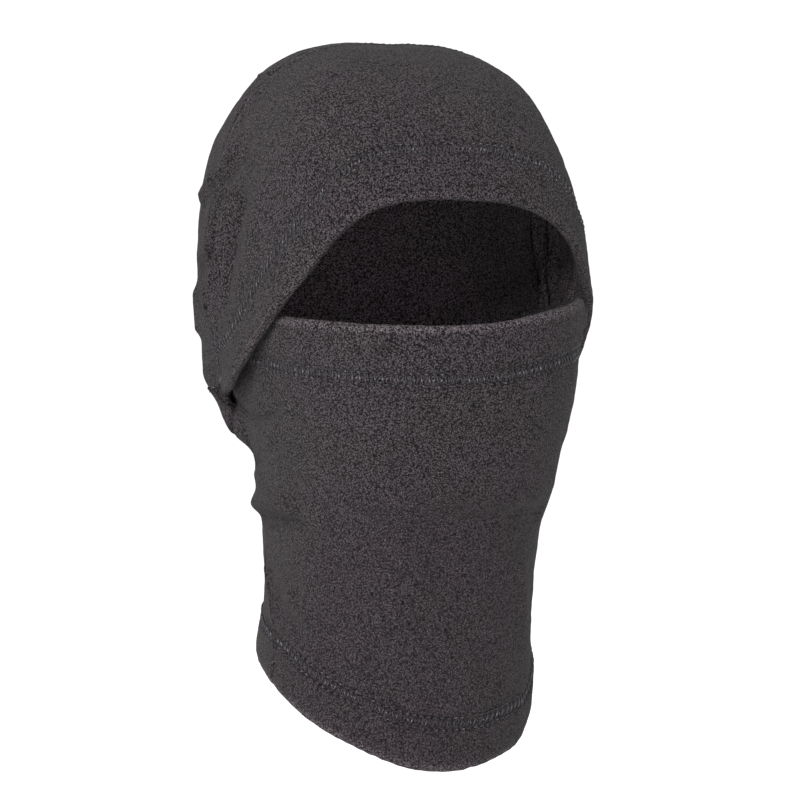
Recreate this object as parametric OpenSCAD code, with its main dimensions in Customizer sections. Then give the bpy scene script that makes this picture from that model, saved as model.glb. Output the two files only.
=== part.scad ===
// Hinged fleece balaclava, as worn: hood, pull-down mask and neck tube.
// Face towards -Y, crown towards +Z, wearer's right towards -X.
// The origin is the middle of the neck opening, level with the lowest point of the front hem.
// Hood and mask both turn about the line through the two ear corners, where the seams meet.

/* [Cloth] */
// Thickness of the fleece
cloth = 2.4; // [1.6:0.1:2.8]
// Clear space between cloth layers that slide over each other
slip_gap = 0.9; // [0.8:0.1:1.4]

/* [Hood] */
// Distance of the ear corners from the middle plane
ear_x = 80.5; // [79:0.5:84]
// Ear corners, distance behind the middle of the head
ear_y = 22; // [18:1:26]
// Ear corners, height above the lowest hem
ear_z = 165; // [160:1:168]
// How much wider the hood swells above the ear corners
ear_swell = 13; // [11:1:16]
// Slope of the face hem, seen from the side
hem_slope = 41; // [36:1:46]
// Slope of the crown seam, seen from the side
crown_slope = 80.5; // [74:0.5:86]
// Width of the turned hem round the face
face_hem_w = 25; // [18:1:30]

/* [Mask] */
// Height of the nose edge at the front
nose_z = 217; // [208:1:222]
// Rise of the nose edge from the front to the sides
nose_rise = 4; // [0:1:8]
// Width of the turned hem along the nose edge
nose_hem_w = 26; // [18:1:30]
// Slope at which the mask laps over the neck tube, below the ear corners
lap_slope = 6; // [4:1:8]

/* [Neck] */
// Rise of the bottom hem from the front to the back
bottom_rise = 78; // [60:1:84]
// Width of the turned bottom hem
bottom_hem_w = 24; // [18:1:30]
// Angle of the two side seams, measured from the front
side_seam_a = 98; // [94:1:102]

/* [Stitching] */
// Distance between the two needle rows of a hem
row_gap = 5.6; // [4:0.2:6.4]
// Thickness of the sewing thread
thread_w = 0.9; // [0.6:0.1:1.2]

/* [Hidden] */
// Side outline of the hood, as seen from the ear corners:
// angle up from the front, distance, swell at the sides, squareness of the arch
HOOD = [
    [40, 174, 1, 2.4], [50, 181.5, 1, 2.5], [65, 186, 1, 2.7], [80, 187.5, 1, 2.8], [90, 183.5, 1, 2.8],
    [105, 166, 1, 2.75], [125, 137, 0.85, 2.6], [150, 99, 0.55, 2.4], [180, 62, 0.1, 2.2]
];
// Neck and mask: height, half width, distance to the front, distance to the back
TUBE = [
    [0, 66, 61, 66], [30, 66.5, 61, 68], [60, 64.5, 60, 69], [85, 64, 61, 67], [100, 64.5, 65, 64],
    [117, 66.5, 75, 63], [130, 69.5, 87, 65], [145, 73, 98, 69], [165, 77, 107, 76], [185, 80.5, 112, 84],
    [225, 84, 114, 90]
];
tube_square = 2.2;       // squareness of the neck and mask seen from above
swell_reach = 0.35;      // share of the arch over which the hood reaches its full width
arch_end = 89;           // the arches of the hood stop just short of the ear corners
nape_gap = 0.3;          // clear space between hood and neck tube at the nape
nape_lap = 5;            // length of neck tube that runs up inside the hood
mask_lap = 8;            // length of neck tube that runs up inside the mask
lap_run = 45;            // length over which the neck tube steps in under the mask
lap_turn = 12;           // angle past the side seams over which the step fades out
mask_short = 2;          // angle by which the mask stops short of the side seams
layer_gap = 0.45;        // space between sewn layers
fold_cloth = cloth - 0.6;
stitch_lift = 0.3;       // needle thread above the cloth
allowance = 6;           // width of each seam allowance
allowance_t = 1.2;       // thickness of the flattened, overlocked seam allowance
back_flat = 16;          // how much the bottom hem levels out behind
topstitch_in = 4;        // distance of the crown topstitch from its seam
tack_angle = [56, 66];   // direction of the bar tacks, seen from the ear corner
tack_reach = [87, 88.9];
tack_t = 1.1;
arch_cols = 44;
arch_step = 2 * arch_end / arch_cols;
tube_cols = 36;
probe = 0.5;             // step used to find which way a surface faces
seam_gap = 0.2;          // half the space between two panels that meet edge to edge
panel_grey = [0.26, 0.24, 0.25];
inside_grey = [0.22, 0.2, 0.21];
thread_grey = [0.36, 0.34, 0.38];

// ---- curves through a few stations ----
function seg(tab, x, i = 0) = (i >= len(tab) - 2 || x < tab[i + 1][0]) ? i : seg(tab, x, i + 1);
function slope(tab, i) =
    let (lo = max(i - 1, 0), hi = min(i + 1, len(tab) - 1)) (tab[hi] - tab[lo]) / (tab[hi][0] - tab[lo][0]);
function smooth(tab, x) =
    let (i = seg(tab, x), h = tab[i + 1][0] - tab[i][0], t = (x - tab[i][0]) / h)
    (2 * t ^ 3 - 3 * t ^ 2 + 1) * tab[i] + (t ^ 3 - 2 * t ^ 2 + t) * h * slope(tab, i)
    + (3 * t ^ 2 - 2 * t ^ 3) * tab[i + 1] + (t ^ 3 - t ^ 2) * h * slope(tab, i + 1);
function ease(t) = let (c = min(max(t, 0), 1)) c * c * (3 - 2 * c);
function rounded(v, square) = sign(v) * abs(v) ^ (2 / square);
function unit(v) = v / norm(v);

// ---- hood surface: an arch from ear to ear for every slope ----
function arch_reach(tau, phi) = let (s = smooth(HOOD, phi)) s[1] * rounded(cos(tau), s[3]);
function hood_raw(tau, phi) =
    let (
        s = smooth(HOOD, phi),
        share = rounded(cos(tau), s[3]),
        reach = s[1] * share,
        v = min(share / swell_reach, 1),
        half = ear_x + ear_swell * s[2] * v * (2 - v)
    )
    [half * rounded(sin(tau), s[3]), ear_y - reach * cos(phi), ear_z + reach * sin(phi)];
function hood_at(tau, phi, inset) =
    let (
        across = hood_raw(min(tau + probe, 90), phi) - hood_raw(max(tau - probe, -90), phi),
        along = hood_raw(tau, phi + probe) - hood_raw(tau, phi - probe)
    )
    hood_raw(tau, phi) - inset * unit(cross(across, along));

// ---- neck and mask surface: a rounded ring for every height ----
function tube_raw(a, z) =
    let (s = smooth(TUBE, z), c = rounded(cos(a), tube_square))
    [-s[1] * rounded(sin(a), tube_square), c > 0 ? -c * s[2] : -c * s[3], z];
function tube_at(a, z, inset) =
    let (
        across = tube_raw(a + probe, z) - tube_raw(a - probe, z),
        up = tube_raw(a, z + probe) - tube_raw(a, z - probe)
    )
    tube_raw(a, z) - inset * unit(cross(up, across));

// ---- edges ----
function bottom_z(a) = let (s = sin(a / 2)) (bottom_rise + back_flat) * s ^ 2 - back_flat * s ^ 8;
function rim_z(a) = nose_z + nose_rise * sin(a) ^ 2;
function lap_z(a) = ear_z - tan(lap_slope) * (ear_y + 100 * cos(a));
function hem_phi(tau, w) = hem_slope + asin(min(w / arch_reach(tau, hem_slope), 1));
function under_mask(a, z) =
    let (past = min(a, 360 - a) - side_seam_a)
    (cloth + slip_gap) * ease((z - lap_z(a) + lap_run) / lap_run) * ease(1.5 - past / lap_turn);

// ---- closed shell between an outer and an inner grid of points ----
module shell(outer, inner, ring = false) {
    rows = len(outer);
    cols = len(outer[0]);
    n = rows * cols;
    last = ring ? cols - 1 : cols - 2;
    skin = [for (r = [0:rows - 2], c = [0:last])
        let (d = (c + 1) % cols) [r * cols + c, r * cols + d, (r + 1) * cols + d, (r + 1) * cols + c]];
    lining = [for (f = skin) [for (i = [3:-1:0]) f[i] + n]];
    low = [for (c = [0:last]) let (d = (c + 1) % cols) [d, c, c + n, d + n]];
    high = [for (c = [0:last])
        let (e = (rows - 1) * cols, d = (c + 1) % cols) [e + c, e + d, e + d + n, e + c + n]];
    ends = ring ? [] : [for (r = [0:rows - 2]) each [
        [r * cols, (r + 1) * cols, (r + 1) * cols + n, r * cols + n],
        [(r + 1) * cols + cols - 1, r * cols + cols - 1, r * cols + cols - 1 + n, (r + 1) * cols + cols - 1 + n]
    ]];
    quads = concat(skin, lining, low, high, ends);
    polyhedron(
        points = concat([for (row = outer) each row], [for (row = inner) each row]),
        faces = [for (q = quads) each [[q[0], q[2], q[1]], [q[0], q[3], q[2]]]],
        convexity = 10
    );
}

// Patch of the hood between two slopes; each slope may change along the arch
module hood_patch(from, to, rows, in_out, first, last, step) {
    grids = [for (inset = in_out)
        [for (r = [0:rows])
            [for (tau = [first:step:last + step / 2])
                hood_at(tau, from(tau) + (to(tau) - from(tau)) * r / rows, inset)]]];
    shell(grids[0], grids[1]);
}

// Patch that takes in n columns on each side of the middle
module hood_band(from, to, rows, in_out, n = arch_cols / 2) {
    hood_patch(from, to, rows, in_out, -n * arch_step, n * arch_step, arch_step);
}

// Patch of the neck or mask between two edges
module tube_patch(from, to, rows, in_out, a0, a1, cols = tube_cols, extra = function(a, z) 0, ring = false) {
    grids = [for (inset = in_out)
        [for (r = [0:rows])
            [for (c = [0:cols - (ring ? 1 : 0)])
                let (a = a1 + (a0 - a1) * c / cols, z = from(a) + (to(a) - from(a)) * r / rows)
                tube_at(a, z, inset + extra(a, z))]]];
    shell(grids[0], grids[1], ring);
}

// Columns of the hood, counted from the middle, that a hem of width w crosses before it meets the crown seam
function meet(w, n = arch_cols / 2) = hem_phi(n * arch_step, w) < crown_slope - 1 ? n : meet(w, n - 1);

panel_layer = [0, cloth];
fold_layer = [cloth + layer_gap, cloth + layer_gap + fold_cloth];
allowance_layer = [cloth + layer_gap, cloth + layer_gap + allowance_t];
needle_layer = [-stitch_lift - thread_w / 2, -stitch_lift];
looper_layer = [-stitch_lift - thread_w / 3, -stitch_lift];

// ---- hood ----
module hood_front_panel() {
    color(panel_grey)
        hood_band(function(tau) hem_slope, function(tau) crown_slope - seam_gap / 3, 9, panel_layer);
}

module hood_back_panel() {
    color(panel_grey)
        hood_band(function(tau) crown_slope + seam_gap / 3, function(tau) 180 - nape_gap, 17, panel_layer);
}

module face_hem_turnback() {
    color(inside_grey)
        hood_band(function(tau) hem_slope, function(tau) hem_phi(tau, face_hem_w), 3, fold_layer,
            meet(face_hem_w));
}

// Thread that follows the face hem, from w0 to w1 away from the edge
module face_hem_thread(w0, w1, layer) {
    color(thread_grey)
        hood_band(function(tau) hem_phi(tau, w0), function(tau) hem_phi(tau, w1), 1, layer, meet(w1));
}

module face_hem_needle_upper() {
    face_hem_thread(face_hem_w - thread_w, face_hem_w, needle_layer);
}

module face_hem_needle_lower() {
    face_hem_thread(face_hem_w - row_gap - thread_w, face_hem_w - row_gap, needle_layer);
}

module face_hem_looper() {
    face_hem_thread(face_hem_w - row_gap + 0.1, face_hem_w - thread_w - 0.1, looper_layer);
}

// Strip along the crown seam, w0 to w1 behind it
module crown_strip(w0, w1, layer, n) {
    hood_band(function(tau) crown_slope + asin(w0 / arch_reach(tau, crown_slope)),
        function(tau) crown_slope + asin(w1 / arch_reach(tau, crown_slope)), 1, layer, n);
}

module crown_seam_allowance() {
    color(inside_grey) crown_strip(-allowance, allowance, allowance_layer, meet(face_hem_w + allowance));
}

module crown_topstitch() {
    color(thread_grey)
        crown_strip(-topstitch_in - thread_w, -topstitch_in, needle_layer, meet(face_hem_w + topstitch_in));
}

// Dense block of stitches that holds the corner of the hood
module bar_tack(side) {
    color(thread_grey)
        hood_patch(function(tau) tack_angle[0], function(tau) tack_angle[1], 1,
            [-stitch_lift - tack_t, -stitch_lift], min(side * tack_reach[0], side * tack_reach[1]),
            max(side * tack_reach[0], side * tack_reach[1]), (tack_reach[1] - tack_reach[0]) / 4);
}

module bar_tack_right() {
    bar_tack(-1);
}

module bar_tack_left() {
    bar_tack(1);
}

// ---- mask ----
module mask_panel() {
    color(panel_grey)
        tube_patch(function(a) lap_z(a), function(a) rim_z(a), 8, panel_layer,
            -side_seam_a + mask_short, side_seam_a - mask_short);
}

// Strip along the nose edge, w0 to w1 below it
module nose_strip(w0, w1, layer, rows = 1) {
    tube_patch(function(a) rim_z(a) - w1, function(a) rim_z(a) - w0, rows, layer,
        -side_seam_a + mask_short + 1, side_seam_a - mask_short - 1);
}

module nose_hem_turnback() {
    color(inside_grey) nose_strip(0, nose_hem_w, fold_layer, 2);
}

module nose_hem_needle_upper() {
    color(thread_grey) nose_strip(nose_hem_w - row_gap - thread_w, nose_hem_w - row_gap, needle_layer);
}

module nose_hem_needle_lower() {
    color(thread_grey) nose_strip(nose_hem_w - thread_w, nose_hem_w, needle_layer);
}

module nose_hem_looper() {
    color(thread_grey) nose_strip(nose_hem_w - row_gap + 0.1, nose_hem_w - thread_w - 0.1, looper_layer);
}

// ---- neck ----
module neck_front_panel() {
    color(panel_grey)
        tube_patch(function(a) bottom_z(a), function(a) lap_z(a) + mask_lap, 13, panel_layer,
            -side_seam_a + seam_gap, side_seam_a - seam_gap, tube_cols, function(a, z) under_mask(a, z));
}

module neck_back_panel() {
    color(panel_grey)
        tube_patch(function(a) bottom_z(a), function(a) ear_z + nape_lap, 11, panel_layer,
            side_seam_a + seam_gap, 360 - side_seam_a - seam_gap, 30, function(a, z) under_mask(a, z));
}

// Ring along the bottom hem, w0 to w1 above the edge
module bottom_strip(w0, w1, layer, rows = 1) {
    tube_patch(function(a) bottom_z(a) + w0, function(a) bottom_z(a) + w1, rows, layer, 0, 360, 66,
        function(a, z) 0, true);
}

module bottom_hem_turnback() {
    color(inside_grey) bottom_strip(0, bottom_hem_w, fold_layer, 2);
}

module bottom_hem_needle_upper() {
    color(thread_grey) bottom_strip(bottom_hem_w - thread_w, bottom_hem_w, needle_layer);
}

module bottom_hem_needle_lower() {
    color(thread_grey) bottom_strip(bottom_hem_w - row_gap - thread_w, bottom_hem_w - row_gap, needle_layer);
}

module bottom_hem_looper() {
    color(thread_grey) bottom_strip(bottom_hem_w - row_gap + 0.1, bottom_hem_w - thread_w - 0.1, looper_layer);
}

// Overlocked seam allowance down one side of the neck, inside the cloth
module side_seam(side) {
    spread = 4.5;
    color(inside_grey)
        tube_patch(function(a) bottom_z(a) + bottom_hem_w + 1, function(a) ear_z - nape_lap, 8,
            allowance_layer, side * side_seam_a - spread, side * side_seam_a + spread, 2,
            function(a, z) under_mask(side_seam_a, z));
}

module side_seam_right() {
    side_seam(1);
}

module side_seam_left() {
    side_seam(-1);
}

hood_front_panel();
hood_back_panel();
face_hem_turnback();
face_hem_needle_upper();
face_hem_needle_lower();
face_hem_looper();
crown_seam_allowance();
crown_topstitch();
bar_tack_right();
bar_tack_left();
mask_panel();
nose_hem_turnback();
nose_hem_needle_upper();
nose_hem_needle_lower();
nose_hem_looper();
neck_front_panel();
neck_back_panel();
bottom_hem_turnback();
bottom_hem_needle_upper();
bottom_hem_needle_lower();
bottom_hem_looper();
side_seam_right();
side_seam_left();
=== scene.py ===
"""Hinged fleece balaclava: cloth panels, hems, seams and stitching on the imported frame."""

import bpy
import numpy as np
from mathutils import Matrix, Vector


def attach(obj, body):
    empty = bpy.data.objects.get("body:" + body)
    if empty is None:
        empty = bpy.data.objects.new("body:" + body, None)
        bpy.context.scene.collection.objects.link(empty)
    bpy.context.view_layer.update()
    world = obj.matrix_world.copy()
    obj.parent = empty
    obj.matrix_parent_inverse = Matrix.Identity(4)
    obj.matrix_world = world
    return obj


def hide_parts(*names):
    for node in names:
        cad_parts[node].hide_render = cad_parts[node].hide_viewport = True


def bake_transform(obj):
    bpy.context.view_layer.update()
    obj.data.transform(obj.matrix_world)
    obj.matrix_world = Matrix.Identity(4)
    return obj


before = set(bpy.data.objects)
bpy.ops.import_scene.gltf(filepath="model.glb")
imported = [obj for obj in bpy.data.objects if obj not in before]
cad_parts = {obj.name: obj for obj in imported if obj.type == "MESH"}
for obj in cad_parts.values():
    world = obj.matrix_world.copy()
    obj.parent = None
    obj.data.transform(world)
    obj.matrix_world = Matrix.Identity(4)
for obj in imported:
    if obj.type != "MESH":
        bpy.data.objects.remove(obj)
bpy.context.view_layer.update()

# ---------------------------------------------------------------- sizes, in millimetres and degrees
MM = 0.001
SEED = 11
CLOTH = 2.4                             # thickness of the fleece
EAR = np.array([80.5, 22.0, 165.0])     # the ear corner on the wearer's left
EAR_PULL = np.array([0.0, 11.0, 13.0])  # how far the seams draw the cloth back and up at the ear corner
EAR_REACH = 24.0                        # how far that pull spreads
MIDDLE = np.array([0.0, 5.0, 0.0])      # foot of the upright line through the middle of the head space
SWELL = 10.0                            # how far the hood swells out sideways beyond the ear line
SWELL_REACH = 0.35                      # share of an arch, from the ear, over which it swells
TUBE_SQUARE = 2.2                       # squareness of the neck's cross-section, 2 for an ellipse
TIP = 89.6                              # how far round its arch the hood reaches at the ears
CHEEK_SEAM = 98                         # angle of the side seam above the ears, for spacing the columns
MID_NECK = 120                          # height at which the search for a side edge starts
SETTLE = 3                              # passes in which the angle and height of a side edge settle
NAPE_SLOPE = 162                        # slope of the last arch of the hood at the back
NAPE_HEIGHT = 148                       # height at which the back goes over to the neck's shape

# Hems, seams and threads
FACE_HEM = 25.0                         # width of each hem, from its edge to the farther needle row
NOSE_HEM = 26.0
BOTTOM_HEM = 24.0
HEM_RISE = 1.2                          # how far the second layer lifts the cloth of a hem
GROOVE = 1.2                            # depth of the groove that the stitches pull into it
HOLE = 0.8                              # radius of the dent round a needle hole
TURN_OUTER = CLOTH + 0.3                # depth of the two faces of a hem's second layer
TURN_INNER = 2 * CLOTH + 0.6
TURN_ROWS = 9                           # rows of points on each of them
ROLL_STEPS = 7                          # steps of the half round at a hem's edge
SEAM_ROLL = 1.7                         # radius with which the cloth turns inward at a seam
SEAM_COLUMNS = 6                        # columns beside a side seam whose inner face is plain cloth
STEADY_COLUMNS = 4                      # columns beside a side seam that share one normal
FLANGE = 5.0                            # depth of the seam edges that turn inward
ROW_GAP = 5.8                           # from one needle row to the other
STITCH = 3.7                            # length of one stitch on the hems
HEM_THREAD = 0.34                       # radii of the threads
CROWN_THREAD = 0.24
LOCK_THREAD = 0.2
TACK_THREAD = 0.25
THREAD_SIDES = 6
LOCK_WIDTH = 3.4                        # width and length of an overlock stitch
LOCK_LENGTH = 1.4

# Slope of the arch, distance from the ear line, swell, squareness
HOOD = np.array([
    [34, 156, 1, 2.6], [40, 164, 1, 2.6], [50, 181, 1, 2.8], [65, 191, 1, 3.05], [80, 188, 1, 3.2],
    [90, 186, 1, 3.2], [105, 169, 1, 3.05], [125, 136, 0.75, 2.8], [150, 95, 0.4, 2.6],
    [180, 58, 0.0, 2.4],
])
# Height, half width, distance to the front, distance to the back
TUBE = np.array([
    [0, 67, 63.5, 68], [30, 69, 64, 69], [60, 66.5, 63.5, 68], [85, 66, 66, 64], [100, 67, 67.3, 62],
    [117, 68.5, 73, 63], [130, 71, 84, 67], [145, 73, 92, 73], [165, 78, 99.5, 80.5],
    [185, 80.5, 106, 87], [225, 86, 110, 91.5],
])
# The cloth hangs a little uneven, so left and right differ by a few millimetres in the next tables.
# Position along the arch, slope of the face hem, slope of the crown seam
HOOD_EDGES = np.array([
    [-90, 35, 88], [-60, 38, 86.5], [-30, 42, 82], [0, 41.5, 80], [30, 40.5, 79.5], [60, 39, 80],
    [90, 38.5, 80],
])
# Angle, height of the nose edge
NOSE_EDGE = np.array([
    [-100, 217], [-66, 224], [-33, 220.5], [0, 213.5], [33, 213], [66, 216], [100, 219.5],
])
# Angle, height of the bottom hem
BOTTOM_EDGE = np.array([
    [-45, 7], [0, 1], [45, 20], [90, 44], [135, 57], [180, 70], [225, 74], [270, 46], [315, 7], [360, 1],
    [405, 20],
])
# Height, angle of the side seams
SIDE_SEAM = np.array([
    [-10, 80], [45, 81], [56, 83], [66, 87], [80, 93], [97, 99], [118, 110], [135, 119], [150, 121],
    [160, 113], [169, 105], [185, 100], [225, 98],
])
# The same for the front panel, which reaches further back where it goes under the hood
FRONT_SEAM = np.array([
    [-10, 80], [45, 81], [56, 83], [66, 87], [80, 93], [97, 99], [118, 110], [135, 120.5], [150, 124],
    [165, 122.5], [180, 116], [195, 108], [225, 99],
])
# Height, sideways lean of the whole piece
LEAN = np.array([[-20, -4], [0, -4], [60, 1], [120, 3.5], [180, 3], [240, 0], [300, -5], [360, -6]])


# ---------------------------------------------------------------- the two surfaces
def smooth(table, x):
    """Row of the table at x, on a cubic curve through its rows."""
    x = np.asarray(x, float)
    last = len(table) - 1
    at = np.clip(np.searchsorted(table[:, 0], x, side="right") - 1, 0, last - 1)
    lo = np.maximum(np.arange(last + 1) - 1, 0)
    hi = np.minimum(np.arange(last + 1) + 1, last)
    slope = (table[hi] - table[lo]) / (table[hi, :1] - table[lo, :1])
    h = (table[at + 1, 0] - table[at, 0])[..., None]
    t = (x[..., None] - table[at, :1]) / h
    return ((2 * t ** 3 - 3 * t ** 2 + 1) * table[at] + (t ** 3 - 2 * t ** 2 + t) * h * slope[at]
            + (3 * t ** 2 - 2 * t ** 3) * table[at + 1] + (t ** 3 - t ** 2) * h * slope[at + 1])


def rounded(v, square):
    """A sine or cosine, changed so that the ellipse that it draws becomes a squarer oval."""
    return np.sign(v) * np.abs(v) ** (2 / square)


def placed(x, y, z):
    """Points with the sideways lean, and with the pull of the seams at the ear corners."""
    points = np.stack([x + smooth(LEAN, z)[..., 1], y, z + 0 * x], -1)
    gap = np.hypot(y - EAR[1], z - EAR[2])
    return points + EAR_PULL * np.exp(-(gap / EAR_REACH) ** 2)[..., None]


def hood_at(tau, phi):
    """Point of the hood: tau runs along an arch from ear (-90) to ear (90), phi is the arch's slope."""
    tau, phi = np.broadcast_arrays(np.asarray(tau, float), np.asarray(phi, float))
    row = smooth(HOOD, phi)
    share = rounded(np.clip(np.cos(np.radians(tau)), 0, 1), row[..., 3])
    reach = row[..., 1] * share
    rise = np.minimum(share / SWELL_REACH, 1)
    half = EAR[0] + SWELL * row[..., 2] * rise * (2 - rise)
    x = half * rounded(np.sin(np.radians(tau)), row[..., 3])
    p = np.radians(phi)
    return placed(x, EAR[1] - reach * np.cos(p), EAR[2] + reach * np.sin(p))


def tube_at(a, z):
    """Point of the neck or mask: a is the angle from the front towards the wearer's right."""
    a, z = np.broadcast_arrays(np.asarray(a, float), np.asarray(z, float))
    row = smooth(TUBE, z)
    c = rounded(np.cos(np.radians(a)), TUBE_SQUARE)
    x = -row[..., 1] * rounded(np.sin(np.radians(a)), TUBE_SQUARE)
    return placed(x, np.where(c > 0, -c * row[..., 2], -c * row[..., 3]), z)


def hem_slope(tau):
    """Slope of the hood's face hem."""
    return smooth(HOOD_EDGES, tau)[..., 1]


def crown_slope(tau):
    """Slope of the crown seam."""
    return smooth(HOOD_EDGES, tau)[..., 2]


def nose_z(a):
    """Height of the nose edge."""
    return smooth(NOSE_EDGE, a)[..., 1]


def bottom_z(a):
    """Height of the bottom hem, for any angle."""
    start = BOTTOM_EDGE[0, 0]
    return smooth(BOTTOM_EDGE, np.mod(np.asarray(a) - start, 360) + start)[..., 1]


def seam_a(z, table=SIDE_SEAM):
    """Angle of a side seam at a height."""
    return smooth(table, z)[..., 1]


def ease(t):
    """0 to 1 as t goes from 0 to 1, with a soft start and end."""
    t = np.clip(t, 0, 1)
    return t * t * (3 - 2 * t)


def even(function, lo, hi, count):
    """count values from lo to hi that lie evenly along the curve function(value)."""
    dense = np.linspace(lo, hi, 1500)
    run = np.r_[0, np.cumsum(np.linalg.norm(np.diff(function(dense), axis=0), axis=1))]
    return np.interp(np.linspace(0, run[-1], count), run, dense)


# ---------------------------------------------------------------- folds
def waves(points, length, seed, count=26):
    """Smooth noise of about -1 to 1 whose bumps are about length apart."""
    rng = np.random.default_rng(seed)
    direction = rng.normal(size=(count, 3))
    direction /= np.linalg.norm(direction, axis=1, keepdims=True)
    k = direction * (2 * np.pi / length) * rng.uniform(0.6, 1.5, (count, 1))
    phase = rng.uniform(0, 2 * np.pi, count)
    out = np.zeros(points.shape[:-1])
    for one, p in zip(k, phase):
        out += np.sin(points @ one + p)
    return out / np.sqrt(count / 2) / 2


def line_distance(points, line):
    """Distance from each point to a line of points, and how far along the line, from 0 to 1."""
    best = np.full(points.shape[:-1], 1e9)
    along = np.zeros(points.shape[:-1])
    steps = np.linalg.norm(np.diff(line, axis=0), axis=1)
    run = np.r_[0, np.cumsum(steps)]
    for i, step in enumerate(steps):
        d = (line[i + 1] - line[i]) / step
        t = np.clip((points - line[i]) @ d, 0, step)
        gap = np.linalg.norm(points - line[i] - t[..., None] * d, axis=-1)
        closer = gap < best
        best = np.where(closer, gap, best)
        along = np.where(closer, (run[i] + t) / run[-1], along)
    return best, along


def curve(spots, surface):
    """Smooth line over a surface through a few (angle, height or slope) spots."""
    spots = np.array(spots, float)
    table = np.column_stack([np.arange(len(spots)), spots])
    dense = smooth(table, np.linspace(0, len(spots) - 1, 4 * len(spots)))
    return surface(dense[:, 1], dense[:, 2])


def fold_height(points, folds):
    """Sum of the folds at each point; a fold is (line, width, height), and fades out at its ends."""
    out = np.zeros(points.shape[:-1])
    for line, width, height in folds:
        margin = 3 * width
        near = ((points > line.min(0) - margin) & (points < line.max(0) + margin)).all(-1)
        if near.any():
            gap, along = line_distance(points[near], line)
            fade = ease(np.minimum(along, 1 - along) * 5 + 0.15)
            out[near] += height * np.exp(-(gap / width) ** 2) * fade
    return out


# Each fold: width, height, then its spots. Spots on the hood are (along the arch, slope).
HOOD_FOLDS = [
    (4.0, 4.0, (-62, 100), (-61, 90), (-58, 82), (-50, 78)),
    (3.8, -2.4, (-66, 87), (-62, 82), (-57, 76), (-51, 72)),
    (3.2, 3.4, (-72, 104), (-74, 90), (-70, 84), (-64, 82), (-60, 78)),
    (3.2, -3.2, (-73, 96), (-70, 90), (-66, 88)),
    (3.6, 3.8, (-84, 88), (-80, 89), (-78, 84), (-74, 80), (-65, 75), (-59, 73)),
    (3.0, -4.0, (-78, 90), (-76, 86), (-72, 81)),
    (4.5, -4.6, (-82, 73), (-78, 71), (-74, 72), (-69, 70), (-59, 68)),
    (8.0, 2.4, (-78, 60), (-70, 58), (-62, 60), (-52, 59)),
    (6.0, 2.6, (-74, 128), (-73, 120), (-74, 109)),
    (2.0, 1.6, (-31, 88), (-30, 84), (-27, 82)),
    (2.5, 1.6, (-40, 88), (-39, 84), (-38, 81)),
    (6.0, 2.4, (76, 66), (66, 74), (54, 77)),
    (5.0, -2.2, (80, 72), (72, 80), (60, 86)),
    (6.0, 2.6, (82, 84), (74, 92), (66, 102)),
    (7.0, 2.2, (-80, 150), (-60, 146), (-35, 150)),
    (7.0, -2.0, (-70, 160), (-40, 157), (-10, 160)),
    (8.0, 2.2, (78, 148), (50, 150), (20, 144)),
]
# Spots on the neck and mask are (angle, height).
TUBE_FOLDS = [
    (3.5, -2.4, (107, 157), (87, 163), (76, 172), (69, 178)),
    (9.0, 6.5, (130, 180), (123, 168), (118, 159), (112, 152), (106, 149)),
    (3.5, -2.6, (116, 139), (104, 140), (90, 143)),
    (6.0, 2.0, (110, 162), (108, 168), (94, 174)),
    (6.0, 1.4, (85, 157), (75, 166), (67, 175)),
    (5.0, 4.2, (116, 123), (104, 124), (91, 127), (79, 127), (68, 123)),
    (3.0, -2.6, (108, 115), (95, 117), (81, 118), (68, 117), (58, 112)),
    (9.0, 1.8, (68, 122), (54, 114), (42, 106), (32, 96)),
    (4.0, 1.6, (100, 97), (94, 80), (86, 66)),
    (4.0, -1.4, (88, 78), (74, 69), (62, 62)),
    (4.0, 1.2, (82, 84), (68, 74), (56, 65)),
    (10., -1.8, (96, 84), (81, 84), (66, 81)),
    (6.0, -2.2, (-53, 121), (-30, 123), (-17, 122), (-6, 123)),
    (8.0, 1.6, (-56, 137), (-30, 134), (-13, 132)),
    (6.0, 1.6, (-37, 99), (-42, 83), (-46, 65)),
    (9.0, -1.4, (-18, 110), (-22, 90), (-25, 70)),
    (14., -1.6, (4, 132), (1, 102), (0, 72)),
    (10., 1.4, (-25, 179), (-22, 165), (-23, 148)),
    (3.0, -1.5, (-57, 202), (-41, 201), (-31, 199)),
    (6.0, 1.6, (-57, 223), (-57, 217), (-57, 211)),
    (5.0, 2.2, (-110, 158), (-92, 162), (-78, 170)),
    (5.0, -1.8, (-106, 148), (-90, 152), (-76, 158)),
    (6.0, 2.0, (-112, 112), (-92, 112), (-72, 116)),
    (7.0, 2.2, (130, 118), (160, 112), (190, 116), (222, 110)),
    (6.0, -1.8, (136, 106), (165, 101), (195, 104), (220, 98)),
    (8.0, 1.6, (140, 92), (175, 88), (205, 92)),
]


def cloth_folds():
    """All folds as (line, width, height)."""
    hood = [(curve(spots, hood_at), width, height) for width, height, *spots in HOOD_FOLDS]
    tube = [(curve(spots, tube_at), width, height) for width, height, *spots in TUBE_FOLDS]
    return hood + tube


FOLDS = cloth_folds()
# Slack and uneven nap: height of the bumps, and how far apart they are
SLACK = ((0.5, 60), (0.25, 19), (0.10, 6))


def relief(points):
    """How far the cloth stands out from its smooth shape: folds, slack and an uneven nap."""
    out = fold_height(points, FOLDS)
    for k, (height, length) in enumerate(SLACK):
        out += height * waves(points, length, SEED + k)
    return out


# ---------------------------------------------------------------- cloth panels
def normals(grid):
    """Outward unit normals of a grid of points that goes round the head space."""
    n = np.cross(np.gradient(grid, axis=1), np.gradient(grid, axis=0))
    n = n / np.maximum(np.linalg.norm(n, axis=-1, keepdims=True), 1e-9)
    from_middle = (grid - MIDDLE) * [1, 1, 0]
    return n * np.sign(np.sum(n * from_middle, -1).mean())


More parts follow.
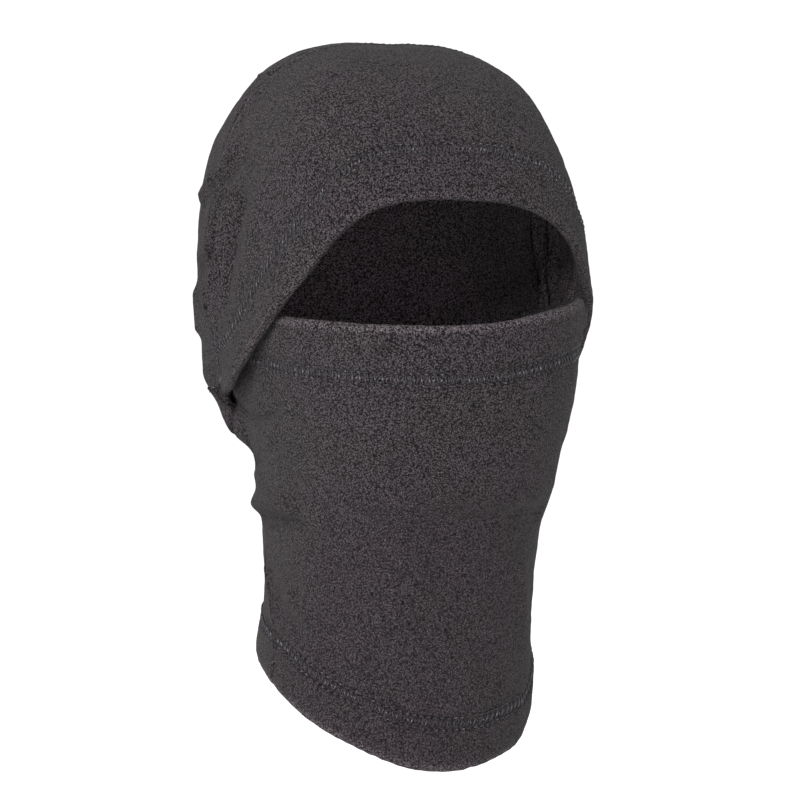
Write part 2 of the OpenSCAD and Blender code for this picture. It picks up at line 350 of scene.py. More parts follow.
def beside_stitches(away, width):
    """Distance from the middle between the two needle rows of a hem; away is measured from its edge."""
    return away - width + ROW_GAP / 2


def hem_profile(away, width):
    """Height of the cloth near a turned hem: a full double band with a groove under the stitches."""
    band = HEM_RISE * ease((width - away + 1.5) / 3.0)
    edge = -0.5 * np.exp(-(away / 2.5) ** 2)
    groove = -GROOVE * np.exp(-(beside_stitches(away, width) / 3.4) ** 4)
    return band + edge + groove


def puckers(points, away, width):
    """Waves 15 mm long that the stitches draw into the cloth beside them."""
    near = np.exp(-(beside_stitches(away, width) / 8.0) ** 2)
    return 0.55 * near * waves(points, 15, SEED + 5)


def needle_holes(away, width, along):
    """1 where a needle went through: two rows of holes, one stitch apart."""
    beat = (0.5 + 0.5 * np.cos(2 * np.pi * along / STITCH)) ** 2
    far = np.exp(-((away - width) / HOLE) ** 2)
    near = np.exp(-((away - width + ROW_GAP) / HOLE) ** 2)
    return (far + near) * beat


def edge_highlight(away):
    """Painted highlight along the rolled edge of a hem: how much paler the nap is painted there, from 0 to
    0.5.
    """
    return 0.5 * np.exp(-(away / 1.3) ** 2)


def roll_in(from_seam):
    """How far the cloth turns inward where it meets a seam."""
    s = np.clip(SEAM_ROLL - from_seam, 0, SEAM_ROLL)
    return SEAM_ROLL - np.sqrt(np.maximum(SEAM_ROLL ** 2 - s ** 2, 0))


def seam_depth(points):
    """How deep the edge at a side seam turns inward; it runs out from 17 to 5 mm before the ear corner."""
    from_ear = np.hypot(points[:, 1] - EAR[1] - EAR_PULL[1], points[:, 2] - EAR[2] - EAR_PULL[2])
    return 0.3 + FLANGE * ease((from_ear - 5) / 12)[:, None]


def arc_along(grid):
    """Running length along each row of a grid, from its middle."""
    step = np.linalg.norm(np.diff(grid, axis=1), axis=-1)
    run = np.concatenate([np.zeros((len(grid), 1)), np.cumsum(step, 1)], 1)
    return run - run[:, run.shape[1] // 2][:, None]


def arc_down(grid):
    """Running length down each column of a grid, from its top."""
    step = np.linalg.norm(np.diff(grid, axis=0), axis=-1)
    return np.concatenate([np.zeros((1, grid.shape[1])), np.cumsum(step, 0)], 0)


def add_mesh(name, points, faces, materials, slots=None, marks=None):
    """A smooth mesh object from points in millimetres, with a mark on each point for its material."""
    mesh = bpy.data.meshes.new(name)
    mesh.from_pydata((np.asarray(points) * MM).tolist(), [], faces)
    if marks is not None:
        layer = mesh.attributes.new("mark", "FLOAT", "POINT")
        layer.data.foreach_set("value", np.asarray(marks, np.float32))
    mesh.polygons.foreach_set("use_smooth", [True] * len(mesh.polygons))
    for material in materials:
        mesh.materials.append(material)
    if slots is not None:
        mesh.polygons.foreach_set("material_index", slots)
    mesh.update()
    obj = bpy.data.objects.new(name, mesh)
    bpy.context.scene.collection.objects.link(obj)
    return obj


def loop_faces(rows, cols):
    """Faces of a grid whose rows close into a loop."""
    r = np.arange(rows)[:, None]
    c = np.arange(cols - 1)[None]
    n = (r + 1) % rows
    return np.stack([r * cols + c, n * cols + c, n * cols + c + 1, r * cols + c + 1], -1).reshape(-1, 4)


def outward(points, faces):
    """The faces, turned round if the closed surface faces inward."""
    p = points[faces]
    volume = (np.sum(np.cross(p[:, 0], p[:, 1]) * p[:, 2])
              + np.sum(np.cross(p[:, 0], p[:, 2]) * p[:, 3]))
    return faces if volume > 0 else faces[:, ::-1]


def end_faces(outer, inner, cols):
    """Triangles that close both ends of a cloth between its outer rows and its inner rows."""
    faces = []
    for col, flip in ((0, False), (cols - 1, True)):
        i, j = 0, 0
        while i < outer - 1 or j < inner - 1:
            if j == inner - 1 or (i < outer - 1 and (i + 1) / (outer - 1) <= (j + 1) / (inner - 1)):
                step = (i, i + 1, outer + inner - 1 - j)
                i += 1
            else:
                step = (i, outer + inner - 2 - j, outer + inner - 1 - j)
                j += 1
            spots = [k * cols + col for k in step]
            faces.append(spots[::-1] if flip else spots)
    return faces


class Panel:
    """One cloth panel: a displaced outer grid and its normals, from which hems and stitches are taken."""

    def __init__(self, base, height, marks=None):
        self.points = base + normals(base) * height[..., None]
        self.normal = normals(self.points)
        self.rows, self.cols = base.shape[:2]
        self.marks = np.full(base.shape[:2], 0.5) if marks is None else marks
        self.down = arc_down(base)
        self.up = self.down[-1] - self.down

    def at(self, row, col, lift=0.0):
        """Points at fractional rows and columns, lifted off the outer face, and their normals."""
        row = np.clip(row, 0, self.rows - 1.001)
        col = np.clip(col, 0, self.cols - 1.001)
        r, c = row.astype(int), col.astype(int)
        u, v = (row - r)[..., None], (col - c)[..., None]

        def mix(grid):
            top = grid[r, c] * (1 - v) + grid[r, c + 1] * v
            low = grid[r + 1, c] * (1 - v) + grid[r + 1, c + 1] * v
            return top * (1 - u) + low * u

        n = mix(self.normal)
        n /= np.linalg.norm(n, axis=-1, keepdims=True)
        return mix(self.points) + n * np.asarray(lift)[..., None], n

    def row_at(self, col, distance, from_top):
        """Fractional row that lies a distance from the top or bottom edge, at each fractional column."""
        run = self.down if from_top else self.up
        c = np.clip(col.astype(int), 0, self.cols - 1)
        order = slice(None) if from_top else slice(None, None, -1)
        rows = np.arange(self.rows, dtype=float)[order]
        distances = np.broadcast_to(distance, c.shape)
        return np.array([np.interp(d, run[order, k], rows) for k, d in zip(c, distances)])

    def build(self, name, materials, hems=(False, False), seams=(False, False), side_seams=False,
              inner_step=3):
        """The closed cloth: outer skin, edges rolled at hems or turned in at seams, and an inner skin.

        hems and seams are (top, bottom). The outer skin has the first material, the inner one the last.
        Where a hem's roll comes back inside, the inner skin leaves out four rows.
        """
        points, normal, marks = self.points, self.normal, self.marks
        if side_seams:
            points, normal, marks = with_side_edges(points, normal, marks)
        top = edge_rows(points, normal, TOP_ROWS, hems[0], seams[0])
        bottom = edge_rows(points, normal, BOTTOM_ROWS, hems[1], seams[1])
        under_top, above_bottom = 4 * hems[0], self.rows - 4 * hems[1]
        pick = [r for r in range(self.rows - 1, -1, -inner_step) if under_top <= r < above_bottom]
        inner = [points[r] - normal[r] * CLOTH for r in pick]
        outer = [*top, *points, *bottom[::-1]]
        cols = points.shape[1]
        plain = np.full(cols, 0.5)
        marks = [marks[0]] * len(top) + list(marks) + [marks[-1]] * len(bottom) + [plain] * len(inner)
        flat = np.array(outer + inner).reshape(-1, 3)
        faces = loop_faces(len(outer) + len(inner), cols)
        turned = outward(flat, faces)
        ends = end_faces(len(outer), len(inner), cols)
        if turned is not faces:
            ends = [face[::-1] for face in ends]
        slots = np.zeros((len(outer) + len(inner), cols - 1), int)
        beside = SEAM_COLUMNS if side_seams else 0
        slots[len(outer) - 1:, beside:cols - 1 - beside] = len(materials) - 1
        slots = np.r_[slots.ravel(), np.zeros(len(ends))].astype(np.int32)
        return add_mesh(name, flat, turned.tolist() + ends, materials, slots, np.array(marks).ravel())


def with_side_edges(points, normal, marks):
    """The grid with one more column at each side, which turns inward at the side seam."""
    k = STEADY_COLUMNS
    first, last = normal[:, k:k + 1].repeat(k, 1), normal[:, -k - 1:-k].repeat(k, 1)
    normal = np.concatenate([first, normal[:, k:-k], last], 1)
    left, right = [(points[:, e] - normal[:, e] * seam_depth(points[:, e]))[:, None] for e in (0, -1)]
    points = np.concatenate([left, points, right], 1)
    normal = np.concatenate([normal[:, :1], normal, normal[:, -1:]], 1)
    return points, normal, np.pad(marks, ((0, 0), (1, 1)), "edge")


# Rows at the top and at the bottom of a panel: the edge, one a little inside it, and one past the roll
TOP_ROWS = (0, 2, 4)
BOTTOM_ROWS = (-1, -3, -6)


def edge_rows(points, normal, rows, hem, seam):
    """Rows to add past the top or bottom edge: a rolled hem, a flange that turns in, or none."""
    edge, beside, past = rows
    if seam:
        return [points[edge] - normal[past] * FLANGE]
    if not hem:
        return []
    inward = points[beside] - points[edge]
    inward /= np.maximum(np.linalg.norm(inward, axis=-1, keepdims=True), 1e-9)
    return hem_roll(points[edge], inward, normal[edge])


def hem_roll(edge, inward, normal):
    """Rows that turn the cloth under at a hem, from inside: a short way flat, then a half round."""
    radius = CLOTH + 0.05
    rows = []
    for k in range(ROLL_STEPS, 0, -1):
        t = np.pi * k / ROLL_STEPS
        rows.append(edge - normal * radius + (normal * np.cos(t) - inward * np.sin(t)) * radius)
    return [rows[0] + inward * 6, rows[0] + inward * 3] + rows


def turnback(name, parts, material):
    """The inner layer of a hem; parts are (panel, first column, last column, near, far, from the top)."""
    points, faces, start = [], [], 0
    for panel, first, last, near, far, from_top in parts:
        col = np.arange(first, last + 1, 2, dtype=float)
        ring = []
        for depth, begin, end in ((TURN_OUTER, near, far), (TURN_INNER, far, near)):
            for spot in np.linspace(begin, end, TURN_ROWS):
                row = panel.row_at(col, spot, from_top)
                ring.append(panel.at(row, col, np.full(len(col), -depth))[0])
        points.append(np.array(ring).reshape(-1, 3))
        faces.append(loop_faces(len(ring), len(col)) + start)
        start += len(points[-1])
    faces = np.concatenate(faces)
    points = np.concatenate(points)
    return add_mesh(name, points, outward(points, faces).tolist(), [material])


# ---------------------------------------------------------------- threads
def tube_faces(rings, sides):
    """Faces of an open tube, from one ring of points to the next."""
    r = np.arange(rings - 1)[:, None]
    k = np.arange(sides)[None]
    m = (k + 1) % sides
    corners = [r * sides + k, r * sides + m, (r + 1) * sides + m, (r + 1) * sides + k]
    return np.stack(corners, -1).reshape(-1, 4)


def thread_mesh(name, strands, radius, material):
    """Round threads along strands, each (points, normals), each with its own glint in the middle."""
    points, faces, shine, start = [], [], [], 0
    rng = np.random.default_rng(SEED + len(strands))
    angle = np.linspace(0, 2 * np.pi, THREAD_SIDES, endpoint=False)
    for path, normal in strands:
        along = np.gradient(path, axis=0)
        along /= np.linalg.norm(along, axis=1, keepdims=True)
        side = np.cross(along, normal)
        side /= np.linalg.norm(side, axis=1, keepdims=True)
        up = np.cross(side, along)
        n = len(path)
        taper = np.sin(np.linspace(0.25, np.pi - 0.25, n)) ** 0.4 * radius
        circle = side[:, None] * np.cos(angle)[:, None] + up[:, None] * np.sin(angle)[:, None]
        ring = path[:, None] + circle * taper[:, None, None]
        points.append(ring.reshape(-1, 3))
        faces.append(tube_faces(n, THREAD_SIDES) + start)
        bright = rng.uniform(0.3, 1.0) ** 1.4
        glint = bright * np.exp(-(np.linspace(-1, 1, n) / 0.32) ** 2)
        shine.append(np.repeat(glint, THREAD_SIDES))
        start += n * THREAD_SIDES
    return add_mesh(name, np.concatenate(points), np.concatenate(faces).tolist(), [material],
                    marks=np.concatenate(shine))


class Seamline:
    """A line on a panel at a set distance from its top or bottom edge, measured by length."""

    def __init__(self, panel, away, from_top, first=0, last=None):
        self.panel, self.from_top, self.away = panel, from_top, away
        last = panel.cols - 1 if last is None else last
        self.col = np.arange(first, last + 1, dtype=float)
        path = panel.at(panel.row_at(self.col, away, from_top), self.col)[0]
        self.run = np.r_[0, np.cumsum(np.linalg.norm(np.diff(path, axis=0), axis=1))]
        self.length = self.run[-1]

    def strand(self, s, across, lift):
        """Points at lengths s along the line, shifted across it and lifted."""
        col = np.interp(s, self.run, self.col)
        return self.panel.at(self.panel.row_at(col, self.away + across, self.from_top), col, lift)


def needle_row(line, rng, length=STITCH, slant=0.25, high=0.12, low=-0.9):
    """Straight stitches, end to end, each pulled down into the cloth at its ends."""
    strands = []
    u = np.linspace(0, 1, 8)
    for start in np.arange(length / 2, line.length - length, length):
        across = slant * (u - 0.5) * 2 + rng.normal(0, 0.12)
        lift = low + (high + rng.normal(0, 0.06) - low) * np.sin(np.pi * u) ** 0.55
        strands.append(line.strand(start + (u * 0.96 + 0.02) * length, across, lift))
    return strands


def looper_row(line, rng):
    """Thread that crosses from one needle row to the other and back, raised in the middle."""
    strands = []
    u = np.linspace(0, 1, 10)
    arch = np.sin(np.pi * u) ** 0.8
    for start in np.arange(STITCH / 2, line.length - STITCH, STITCH):
        turn = 0.42 + rng.normal(0, 0.05)
        out, back = start + u * turn * STITCH, start + (turn + u * (1 - turn)) * STITCH
        strands.append(line.strand(out, (u - 0.5) * (ROW_GAP - 0.4), -0.6 + 1.2 * arch))
        strands.append(line.strand(back, (0.5 - u) * (ROW_GAP * 0.55), -0.8 + 0.85 * arch))
    return strands


def overlock(line, rng, lift):
    """Close stitches from side to side along the edge of a seam allowance."""
    strands = []
    u = np.linspace(0, 1, 6)
    for k, start in enumerate(np.arange(0, line.length - LOCK_LENGTH, LOCK_LENGTH)):
        way = 1 if k % 2 else -1
        height = np.full(len(u), lift) + 0.2 * np.sin(np.pi * u) + rng.normal(0, 0.04)
        strands.append(line.strand(start + u * LOCK_LENGTH, way * (u - 0.5) * LOCK_WIDTH, height))
    return strands


# ---------------------------------------------------------------- the three outer panels
def crown_ridge(from_seam):
    """The seam allowance under the cloth lifts it by 0.8 mm, most of all 2 to 5 mm from the seam."""
    return 0.8 * ease((8 - from_seam) / 3) * ease(from_seam / 2)


def cheek_gap(tau, away):
    """How far the hood's edge stands off the mask beside the cheeks: up to 2.5 mm, within 10 mm of it."""
    side = np.abs(tau)
    return 2.5 * np.exp(-(away / 10) ** 2) * ease((side - 50) / 15) * ease((89 - side) / 7)


def hood_front_panel():
    """Forehead and temples, from the face hem to the crown seam; the rows lie closer near the hem."""
    cols, rows = 521, 108
    tau = even(lambda t: hood_at(t, 60), -TIP, TIP, cols)
    share = np.linspace(0, 1, rows)[:, None] ** 1.2
    base = hood_at(tau[None], hem_slope(tau) * (1 - share) + crown_slope(tau) * share)
    away = arc_down(base)
    from_crown = away[-1] - away
    holes = needle_holes(away, FACE_HEM, arc_along(base))
    height = (relief(base) + cheek_gap(tau, away) + hem_profile(away, FACE_HEM)
              + puckers(base, away, FACE_HEM) + crown_ridge(from_crown) - roll_in(from_crown)
              - 0.5 * holes)
    # The marks paint shade into the needle holes and a highlight along the hem's rolled edge.
    return Panel(base, height, 0.5 + 0.5 * holes - 0.3 * edge_highlight(away))


def evenly_down(columns, rows):
    """The columns of a grid, each with rows points at equal distances along it."""
    run = arc_down(columns)
    cols = columns.shape[1]
    out = np.empty((rows, cols, 3))
    for c in range(cols):
        want = np.linspace(0, run[-1, c], rows)
        for k in range(3):
            out[:, c, k] = np.interp(want, run[:, c], columns[:, c, k])
    return out


def back_base(rows, cols):
    """Columns that run from the crown seam over the back of the head and down to the bottom hem."""
    half = 180 - CHEEK_SEAM
    tau = even(lambda t: hood_at(t, 110), -TIP, TIP, cols)
    share = (even(lambda v: tube_at(v, 140), 180 - half, 180 + half, cols) - 180) / half
    crown = crown_slope(tau)
    stops = [hood_at(tau, crown + (NAPE_SLOPE - crown) * t) for t in np.linspace(0, 1, 15)]
    for t in np.linspace(1, 0, 9):
        a = 180 + share * (180 - seam_a(MID_NECK))
        for _ in range(SETTLE):
            z = bottom_z(a) * (1 - t) + NAPE_HEIGHT * t
            a = 180 + share * (180 - seam_a(z))
        stops.append(tube_at(a, z))
    table = np.column_stack([np.arange(len(stops)), np.array(stops).reshape(len(stops), -1)])
    dense = smooth(table, np.linspace(0, len(stops) - 1, 12 * len(stops)))[:, 1:]
    return evenly_down(dense.reshape(-1, cols, 3), rows)


def side_distance(base):
    """Distance of each grid point from the nearer side edge, along its row."""
    run = arc_along(base)
    return np.minimum(run - run[:, :1], run[:, -1:] - run)


def back_panel():
    """Back of the head and neck, from the crown seam to the bottom hem."""
    base = back_base(190, 261)
    down = arc_down(base)
    up = down[-1] - down
    side = side_distance(base)
    holes = needle_holes(up, BOTTOM_HEM, arc_along(base))
    height = (relief(base) + hem_profile(up, BOTTOM_HEM) + puckers(base, up, BOTTOM_HEM)
              + 0.5 * crown_ridge(down) - roll_in(np.minimum(down, side)) - 0.5 * holes)
    # The marks paint shade into the needle holes and a highlight along the hem's rolled edge.
    return Panel(base, height, 0.5 + 0.5 * holes - edge_highlight(up))


def nose_shape(base):
    """The mask stands out by up to 2 mm over the nose."""
    x, y, z = base[..., 0], base[..., 1], base[..., 2]
    front = ease((-y - 40) / 50)
    return 2.0 * front * np.exp(-(x / 22) ** 2 - ((z - 196) / 26) ** 2)


def hood_edge_crease(base):
    """The mask dips sharply under the hood's edge beside the cheeks, and bulges in front of the dip."""
    out = np.zeros(base.shape[:-1])
    dip, bulge = (0.9, 2.9, 4, -8.0), (-2.6, 4.5, 2, 2.2)
    for past_hem, width, power, height in (dip, bulge):
        for side in (-1, 1):
            tau = side * np.linspace(50, 88, 14)
            gap, along = line_distance(base, hood_at(tau, hem_slope(tau) + past_hem))
            fade = ease(along * 4) * ease((1 - along) * 3)
            out += height * np.exp(-(gap / width) ** power) * fade
    return out


def front_panel():
    """Mask and front of the neck, from nose edge to bottom hem; the rows lie closer near both hems."""
    cols, rows = 301, 196
    share = even(lambda v: tube_at(v, 150), CHEEK_SEAM, -CHEEK_SEAM, cols) / CHEEK_SEAM
    t = np.linspace(0, 1, rows)[:, None]
    t = t - 0.35 * np.sin(2 * np.pi * t) / (2 * np.pi)
    a = share * seam_a(MID_NECK)
    for _ in range(SETTLE):
        z = nose_z(a) * (1 - t) + bottom_z(a) * t
        a = share * seam_a(z, FRONT_SEAM)
    base = tube_at(a, z)
    under_back = 1.8 * ease((z - 134) / 10) * ease((np.abs(a) - 96) / 10)
    down = arc_down(base)
    up = down[-1] - down
    along = arc_along(base)
    holes = needle_holes(down, NOSE_HEM, along) + needle_holes(up, BOTTOM_HEM, along)
    height = (relief(base) + hem_profile(down, NOSE_HEM) + hem_profile(up, BOTTOM_HEM)
              + puckers(base, down, NOSE_HEM) + puckers(base, up, BOTTOM_HEM)
              - roll_in(side_distance(base)) + nose_shape(base)
              + hood_edge_crease(base) * ease((down - 2) / 9) - under_back - 0.5 * holes)
    # The marks paint shade into the needle holes and a highlight along both hems' rolled edges.
    return Panel(base, height, 0.5 + 0.5 * holes - edge_highlight(down) - edge_highlight(up))


# ---------------------------------------------------------------- materials
def node(tree, kind, inputs=None, **settings):
    """A new node with its settings; an input is either a value or a socket to link from."""
    n = tree.nodes.new(kind)
    for key, value in settings.items():
        setattr(n, key, value)
    for key, value in (inputs or {}).items():
        if isinstance(value, bpy.types.NodeSocket):
            tree.links.new(value, n.inputs[key])
        else:
            n.inputs[key].default_value = value
    return n


def ramp(tree, value, stops):
    """Colour from a value, by a ramp of (position, colour) stops."""
    n = tree.nodes.new("ShaderNodeValToRGB")
    tree.links.new(value, n.inputs["Fac"])
    while len(n.color_ramp.elements) < len(stops):
        n.color_ramp.elements.new(0.5)
    for element, (place, colour) in zip(n.color_ramp.elements, stops):
        element.position = place
        element.color = (*colour, 1)
    return n.outputs["Color"]


def math_node(tree, operation, a, b):
    """Output of a math node on two values or sockets."""
    return node(tree, "ShaderNodeMath", {0: a, 1: b}, operation=operation).outputs[0]


def blank_material(name):
    """A new material with its node tree and its shader."""
    material = bpy.data.materials.new(name)
    material.use_nodes = True
    tree = material.node_tree
    shader = tree.nodes["Principled BSDF"]
    return material, tree, shader


def multiply(tree, a, b):
    """Product of two colours."""
    mix = node(tree, "ShaderNodeMix", {"Factor": 1.0}, data_type="RGBA", blend_type="MULTIPLY")
    tree.links.new(a, mix.inputs[6])
    tree.links.new(b, mix.inputs[7])
    return mix.outputs[2]


def noise(tree, place, scale, detail, **inputs):
    """Noise texture at a place, with its scale in waves per metre."""
    settings = {"Vector": place, "Scale": scale, "Detail": detail, **inputs}
    return node(tree, "ShaderNodeTexNoise", settings).outputs


# Height in the nap and the fleece's colour there: pits, cloth, tips; the tufts' tones are the nap's grain,
# and the near-black pits are painted shade between them
NAP_TONES_AND_PIT_SHADE = (
    (0.12, (0.0010, 0.0007, 0.0009)),
    (0.27, (0.0218, 0.0178, 0.0203)),
    (0.42, (0.083, 0.0708, 0.0790)),
)


def nap_height(tree, place, fine):
    """Height of the nap: fine tufts with pits between them, flatter towards the bottom of the piece."""
    middle = NAP_TONES_AND_PIT_SHADE[1][0]
    warp = noise(tree, place, 900.0, 1.0)["Color"]
    bent = node(tree, "ShaderNodeVectorMath", {0: warp, "Scale": 0.0007}, operation="SCALE").outputs[0]
    moved = node(tree, "ShaderNodeVectorMath", {0: place, 1: bent}, operation="ADD").outputs[0]
    tufts = node(tree, "ShaderNodeTexVoronoi", {"Vector": moved, "Scale": 1050.0}).outputs["Distance"]
    pile = math_node(tree, "SUBTRACT", fine, math_node(tree, "MULTIPLY", tufts, 0.45))
    level = node(tree, "ShaderNodeSeparateXYZ", {"Vector": place}).outputs["Z"]
    contrast = node(tree, "ShaderNodeMapRange", {
        "Value": level, "From Min": 0.10, "From Max": 0.18, "To Min": 0.55, "To Max": 0.95,
    }).outputs[0]
    swing = math_node(tree, "MULTIPLY", math_node(tree, "SUBTRACT", pile, middle), contrast)
    return math_node(tree, "ADD", swing, middle)


def fleece_colour(tree, place, height, shade):
    """Colour of the fleece: the nap's tones, faint clouds and patches, painted shade in the needle holes
    and a painted highlight along the hem edges.
    """
    tone = ramp(tree, height, [(at, [part * shade for part in colour]) for at, colour in NAP_TONES_AND_PIT_SHADE])
    cloud = noise(tree, place, 24.0, 3.0)["Fac"]
    hue = ramp(tree, cloud, [(0.38, (1.02, 0.99, 1.03)), (0.62, (0.99, 1.0, 0.98))])
    blotch = noise(tree, place, 220.0, 2.0)["Fac"]
    patch = ramp(tree, blotch, [(0.35, (0.98, 0.97, 0.99)), (0.65, (1.0, 1.02, 0.99))])
    mark = node(tree, "ShaderNodeAttribute", attribute_name="mark").outputs["Fac"]
    # Painted light from the mark: near 0 paints the highlight on hem edges, near 0.9 paints shade into the
    # needle holes.
    hole_shade_and_edge_highlight = ramp(tree, mark, [(0.0, (1.0, 1.0, 0.98)), (0.5, (0.55, 0.55, 0.55)), (0.9, (0.08, 0.07, 0.09))])
    return multiply(tree, multiply(tree, multiply(tree, tone, hue), patch), hole_shade_and_edge_highlight)


def fleece_material(name, shade):
    """Short pilled nap: fine tufts with painted shade in the pits between them, and a soft sheen at grazing
    angles.
    """
    material, tree, shader = blank_material(name)
    place = node(tree, "ShaderNodeTexCoord").outputs["Object"]
    fine = noise(tree, place, 1750.0, 2.0, Roughness=0.6)["Fac"]
    height = nap_height(tree, place, fine)
    tree.links.new(fleece_colour(tree, place, height, shade), shader.inputs["Base Color"])
    bump = node(tree, "ShaderNodeBump", {"Height": height, "Strength": 1.0, "Distance": 0.0012})
    tree.links.new(bump.outputs["Normal"], shader.inputs["Normal"])
    rough = node(tree, "ShaderNodeMapRange", {"Value": fine, "To Min": 0.85, "To Max": 1.0})
    tree.links.new(rough.outputs[0], shader.inputs["Roughness"])
    shader.inputs["Specular IOR Level"].default_value = 0.08
    shader.inputs["Sheen Weight"].default_value = 0.028
    shader.inputs["Sheen Roughness"].default_value = 0.45
    shader.inputs["Sheen Tint"].default_value = (0.86, 0.9, 0.84, 1)
    return material


def thread_material():
    """Spun thread: fine twisted plies, with painted shade towards the ends of each stitch, where it sinks
    into the nap, and a painted glint in its middle, where it stands out.
    """
    material, tree, shader = blank_material("thread")
    place = node(tree, "ShaderNodeTexCoord").outputs["Object"]
    plies = noise(tree, place, 2600.0, 2.0)["Fac"]
    tone = ramp(tree, plies, [(0.3, (0.05, 0.044, 0.056)), (0.7, (0.20, 0.184, 0.215))])
    mark = node(tree, "ShaderNodeAttribute", attribute_name="mark").outputs["Fac"]
    # Painted light from each stitch's mark: painted shade at its ends, a painted glint in its middle.
    rise = ramp(tree, mark, [(0.0, (0.05, 0.05, 0.05)), (0.5, (0.12, 0.12, 0.13)), (1.0, (0.8, 0.8, 0.8))])
    tree.links.new(multiply(tree, tone, rise), shader.inputs["Base Color"])
    bump = node(tree, "ShaderNodeBump", {"Height": plies, "Strength": 0.5, "Distance": 0.0003})
    tree.links.new(bump.outputs["Normal"], shader.inputs["Normal"])
    rough = node(tree, "ShaderNodeMapRange", {"Value": plies, "To Min": 0.35, "To Max": 0.55})
    tree.links.new(rough.outputs[0], shader.inputs["Roughness"])
    shader.inputs["Specular IOR Level"].default_value = 0.3
    return material


# ---------------------------------------------------------------- set
def look_from(azimuth, elevation, aim, distance, lens):
    """The camera, at an angle from the front and above, looking at a point in metres."""
    az, el = np.radians(azimuth), np.radians(elevation)
    back = Vector((np.sin(az) * np.cos(el), -np.cos(az) * np.cos(el), np.sin(el)))
    camera = bpy.data.objects.new("camera", bpy.data.cameras.new("camera"))
    bpy.context.scene.collection.objects.link(camera)
    camera.location = aim + back * distance
    camera.rotation_euler = (-back).to_track_quat("-Z", "Y").to_euler()
    camera.data.lens = lens
    camera.data.sensor_width = 36
    camera.data.clip_end = 20
    bpy.context.scene.camera = camera


def area_light(name, place, target, size, power):
    """A soft lamp that shines from one place at another."""
    light = bpy.data.lights.new(name, "AREA")
    light.size = size
    light.energy = power
    obj = bpy.data.objects.new(name, light)
    bpy.context.scene.collection.objects.link(obj)
    obj.location = place
    obj.rotation_euler = (Vector(target) - Vector(place)).to_track_quat("-Z", "Y").to_euler()


def pale_floor(half, level):
    """A plain floor, a little way below the piece."""
    mesh = bpy.data.meshes.new("floor")
    corners = [(-half, -half, level), (half, -half, level), (half, half, level), (-half, half, level)]
    mesh.from_pydata(corners, [], [(0, 1, 2, 3)])
    floor = bpy.data.objects.new("floor", mesh)
    bpy.context.scene.collection.objects.link(floor)
    material, tree, shader = blank_material("floor")
    grain = node(tree, "ShaderNodeTexNoise", {"Scale": 3.0}).outputs["Fac"]
    colour = ramp(tree, grain, [(0, (0.96, 0.96, 0.96)), (1, (0.98, 0.98, 0.98))])
    tree.links.new(colour, shader.inputs["Base Color"])
    shader.inputs["Roughness"].default_value = 0.9
    mesh.materials.append(material)


def studio():
    """White surroundings, a pale floor and three soft lamps."""
    world = bpy.data.worlds.new("studio")
    bpy.context.scene.world = world
    world.use_nodes = True
    background = world.node_tree.nodes["Background"]
    background.inputs["Color"].default_value = (1, 1, 1, 1)
    background.inputs["Strength"].default_value = 1.06
    bpy.context.scene.view_settings.view_transform = "Standard"
    pale_floor(half=6.0, level=-0.16)
    area_light("key_light", (-1.2, -1.35, 1.1), (0, 0, 0.2), size=0.8, power=66)
    area_light("front_light", (-0.4, -2.2, 0.1), (0, 0, 0.15), size=1.2, power=17)
    area_light("rim_light", (1.3, 0.5, 0.9), (0, 0, 0.2), size=0.8, power=3)


# ---------------------------------------------------------------- sewn pieces
def hem(name, runs, width, from_top, body, thread, cloth):
    """Turned-under cloth of a hem, its two needle rows and the looper thread between them.

    Each run is (panel, first column, last column).
    """
    rng = np.random.default_rng(SEED + len(name))
    parts = [(panel, first, last, 4, width, from_top) for panel, first, last in runs]
    # the nose hem's edge is its top, so the row farther from the edge is the lower one
    far, near = ("lower", "upper") if name == "nose" else ("upper", "lower")
    pieces = {"turnback": turnback(name + "_fold", parts, cloth)}

    def strands(stitch, away):
        return [one for panel, first, last in runs
                for one in stitch(Seamline(panel, away, from_top, first, last), rng)]

    for row, away in ((far, width), (near, width - ROW_GAP)):
        stitches = strands(needle_row, away)
        pieces["needle_" + row] = thread_mesh(f"{name}_row_{row}", stitches, HEM_THREAD, thread)
    crossings = strands(looper_row, width - ROW_GAP / 2)
    pieces["looper"] = thread_mesh(name + "_cover", crossings, HEM_THREAD, thread)
    for part, piece in pieces.items():
        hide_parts(f"{name}_hem_{part}")
        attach(piece, body)
    return list(pieces.values())


def crown_seam(hood_panel, back_cloth, thread, cloth):
    """Topstitch beside the seam over the crown, and the overlocked seam allowance inside."""
    rng = np.random.default_rng(SEED + 3)
    cols = hood_panel.cols
    line = Seamline(hood_panel, 4.0, False, 20, cols - 21)
    stitches = needle_row(line, rng, length=3.2, slant=0.1, high=0.0, low=-0.8)
    top = thread_mesh("crown_row", stitches, CROWN_THREAD, thread)
    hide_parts("crown_topstitch")
    near, far = 1.4, 7
    parts = [(hood_panel, 12, cols - 13, near, far, False),
             (back_cloth, 8, back_cloth.cols - 9, near, far, True)]
    strip = turnback("crown_allowance", parts, cloth)
    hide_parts("crown_seam_allowance")
    edge = Seamline(hood_panel, 5.6, False, 12, cols - 13)
    lock = thread_mesh("crown_overlock", overlock(edge, rng, -2 * CLOTH - 0.3), LOCK_THREAD, thread)
    for piece in (top, strip, lock):
        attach(piece, "hood")
    return [top, strip, lock]


def bar_tack(name, panel, side, thread):
    """A dense block of stitches, half a column apart, that holds the hood's corner."""
    rng = np.random.default_rng(SEED + 4)
    first, stitches, reach = 5.0, 16, 0.3
    strands = []
    u = np.linspace(0, 1, 6)
    for k in range(stitches):
        col = first + 0.5 * k + 0.5 * u
        col = col if side < 0 else panel.cols - 1 - col
        share = 0.5 + (u - 0.5) * (reach if k % 2 else -reach)
        lift = -0.2 + 0.35 * np.sin(np.pi * u) + rng.normal(0, 0.04)
        strands.append(panel.at(share * (panel.rows - 1), col, lift))
    piece = thread_mesh(name + "_stitches", strands, TACK_THREAD, thread)
    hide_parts(name)
    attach(piece, "hood")
    return piece


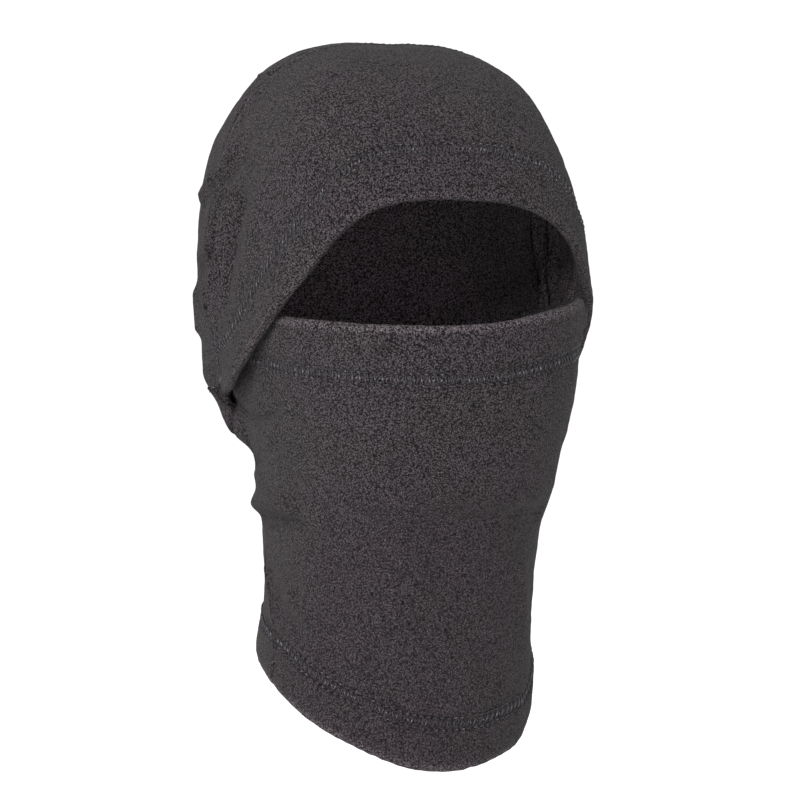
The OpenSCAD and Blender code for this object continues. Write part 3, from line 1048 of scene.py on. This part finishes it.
def side_seam(name, side, thread, cloth):
    """Overlocked seam allowance down one side under both panels, from the ear to 12 mm above the edge."""
    low = bottom_z(side * seam_a(50)) + 12
    z = np.linspace(low, 168, 110)[None]
    a = seam_a(z) + np.linspace(-5, 14, 16)[:, None]
    base = tube_at(side * a, z)
    panel = Panel(base, relief(base) - CLOTH - 0.5)
    rng = np.random.default_rng(SEED + 6)
    strip = panel.build(name + "_strip", [cloth], inner_step=2)
    stitches = overlock(Seamline(panel, 2.0, side > 0), rng, -CLOTH - 0.2)
    lock = thread_mesh(name + "_overlock", stitches, LOCK_THREAD, thread)
    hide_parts(name)
    for piece in (strip, lock):
        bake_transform(piece)
    return [strip, lock]


def main():
    """The set, the three cloths, and what is sewn to each."""
    look_from(azimuth=-22, elevation=3, aim=Vector((0.0029, -0.0012, 0.175)), distance=1.5, lens=135.5)
    studio()
    fleece = fleece_material("fleece", shade=1.12)
    # The inner face is the same cloth painted 3.75 times brighter, as painted light where the lamps barely
    # reach; the turned-in hems and seam allowances are painted 1.7 times brighter.
    inside = fleece_material("fleece_inside", shade=4.2)
    seam_cloth_painted_light = fleece_material("fleece_seam_painted_light", shade=1.9)
    thread = thread_material()
    hood_panel, back_cloth, front_cloth = hood_front_panel(), back_panel(), front_panel()
    both = [fleece, inside]
    hood = hood_panel.build("hood_front", both, hems=(True, False), seams=(False, True))
    back = back_cloth.build("back", both, hems=(False, True), seams=(True, False), side_seams=True)
    front = front_cloth.build("front", both, hems=(True, True), side_seams=True)
    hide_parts("hood_front_panel")
    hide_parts("hood_back_panel", "neck_back_panel")
    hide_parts("mask_panel", "neck_front_panel")
    runs = [(hood_panel, 6, hood_panel.cols - 7)]
    on_hood = hem("face", runs, FACE_HEM, True, "hood", thread, seam_cloth_painted_light)
    on_hood += crown_seam(hood_panel, back_cloth, thread, seam_cloth_painted_light)
    on_hood.append(bar_tack("bar_tack_right", hood_panel, -1, thread))
    on_hood.append(bar_tack("bar_tack_left", hood_panel, 1, thread))
    runs = [(front_cloth, 3, front_cloth.cols - 4)]
    on_front = hem("nose", runs, NOSE_HEM, True, "mask", thread, seam_cloth_painted_light)
    runs = [(cloth, 2, cloth.cols - 3) for cloth in (front_cloth, back_cloth)]
    on_front += hem("bottom", runs, BOTTOM_HEM, False, "neck", thread, seam_cloth_painted_light)
    on_back = side_seam("side_seam_right", 1, thread, seam_cloth_painted_light)
    on_back += side_seam("side_seam_left", -1, thread, seam_cloth_painted_light)
    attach(hood, "hood")
    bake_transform(back)
    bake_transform(front)


main()
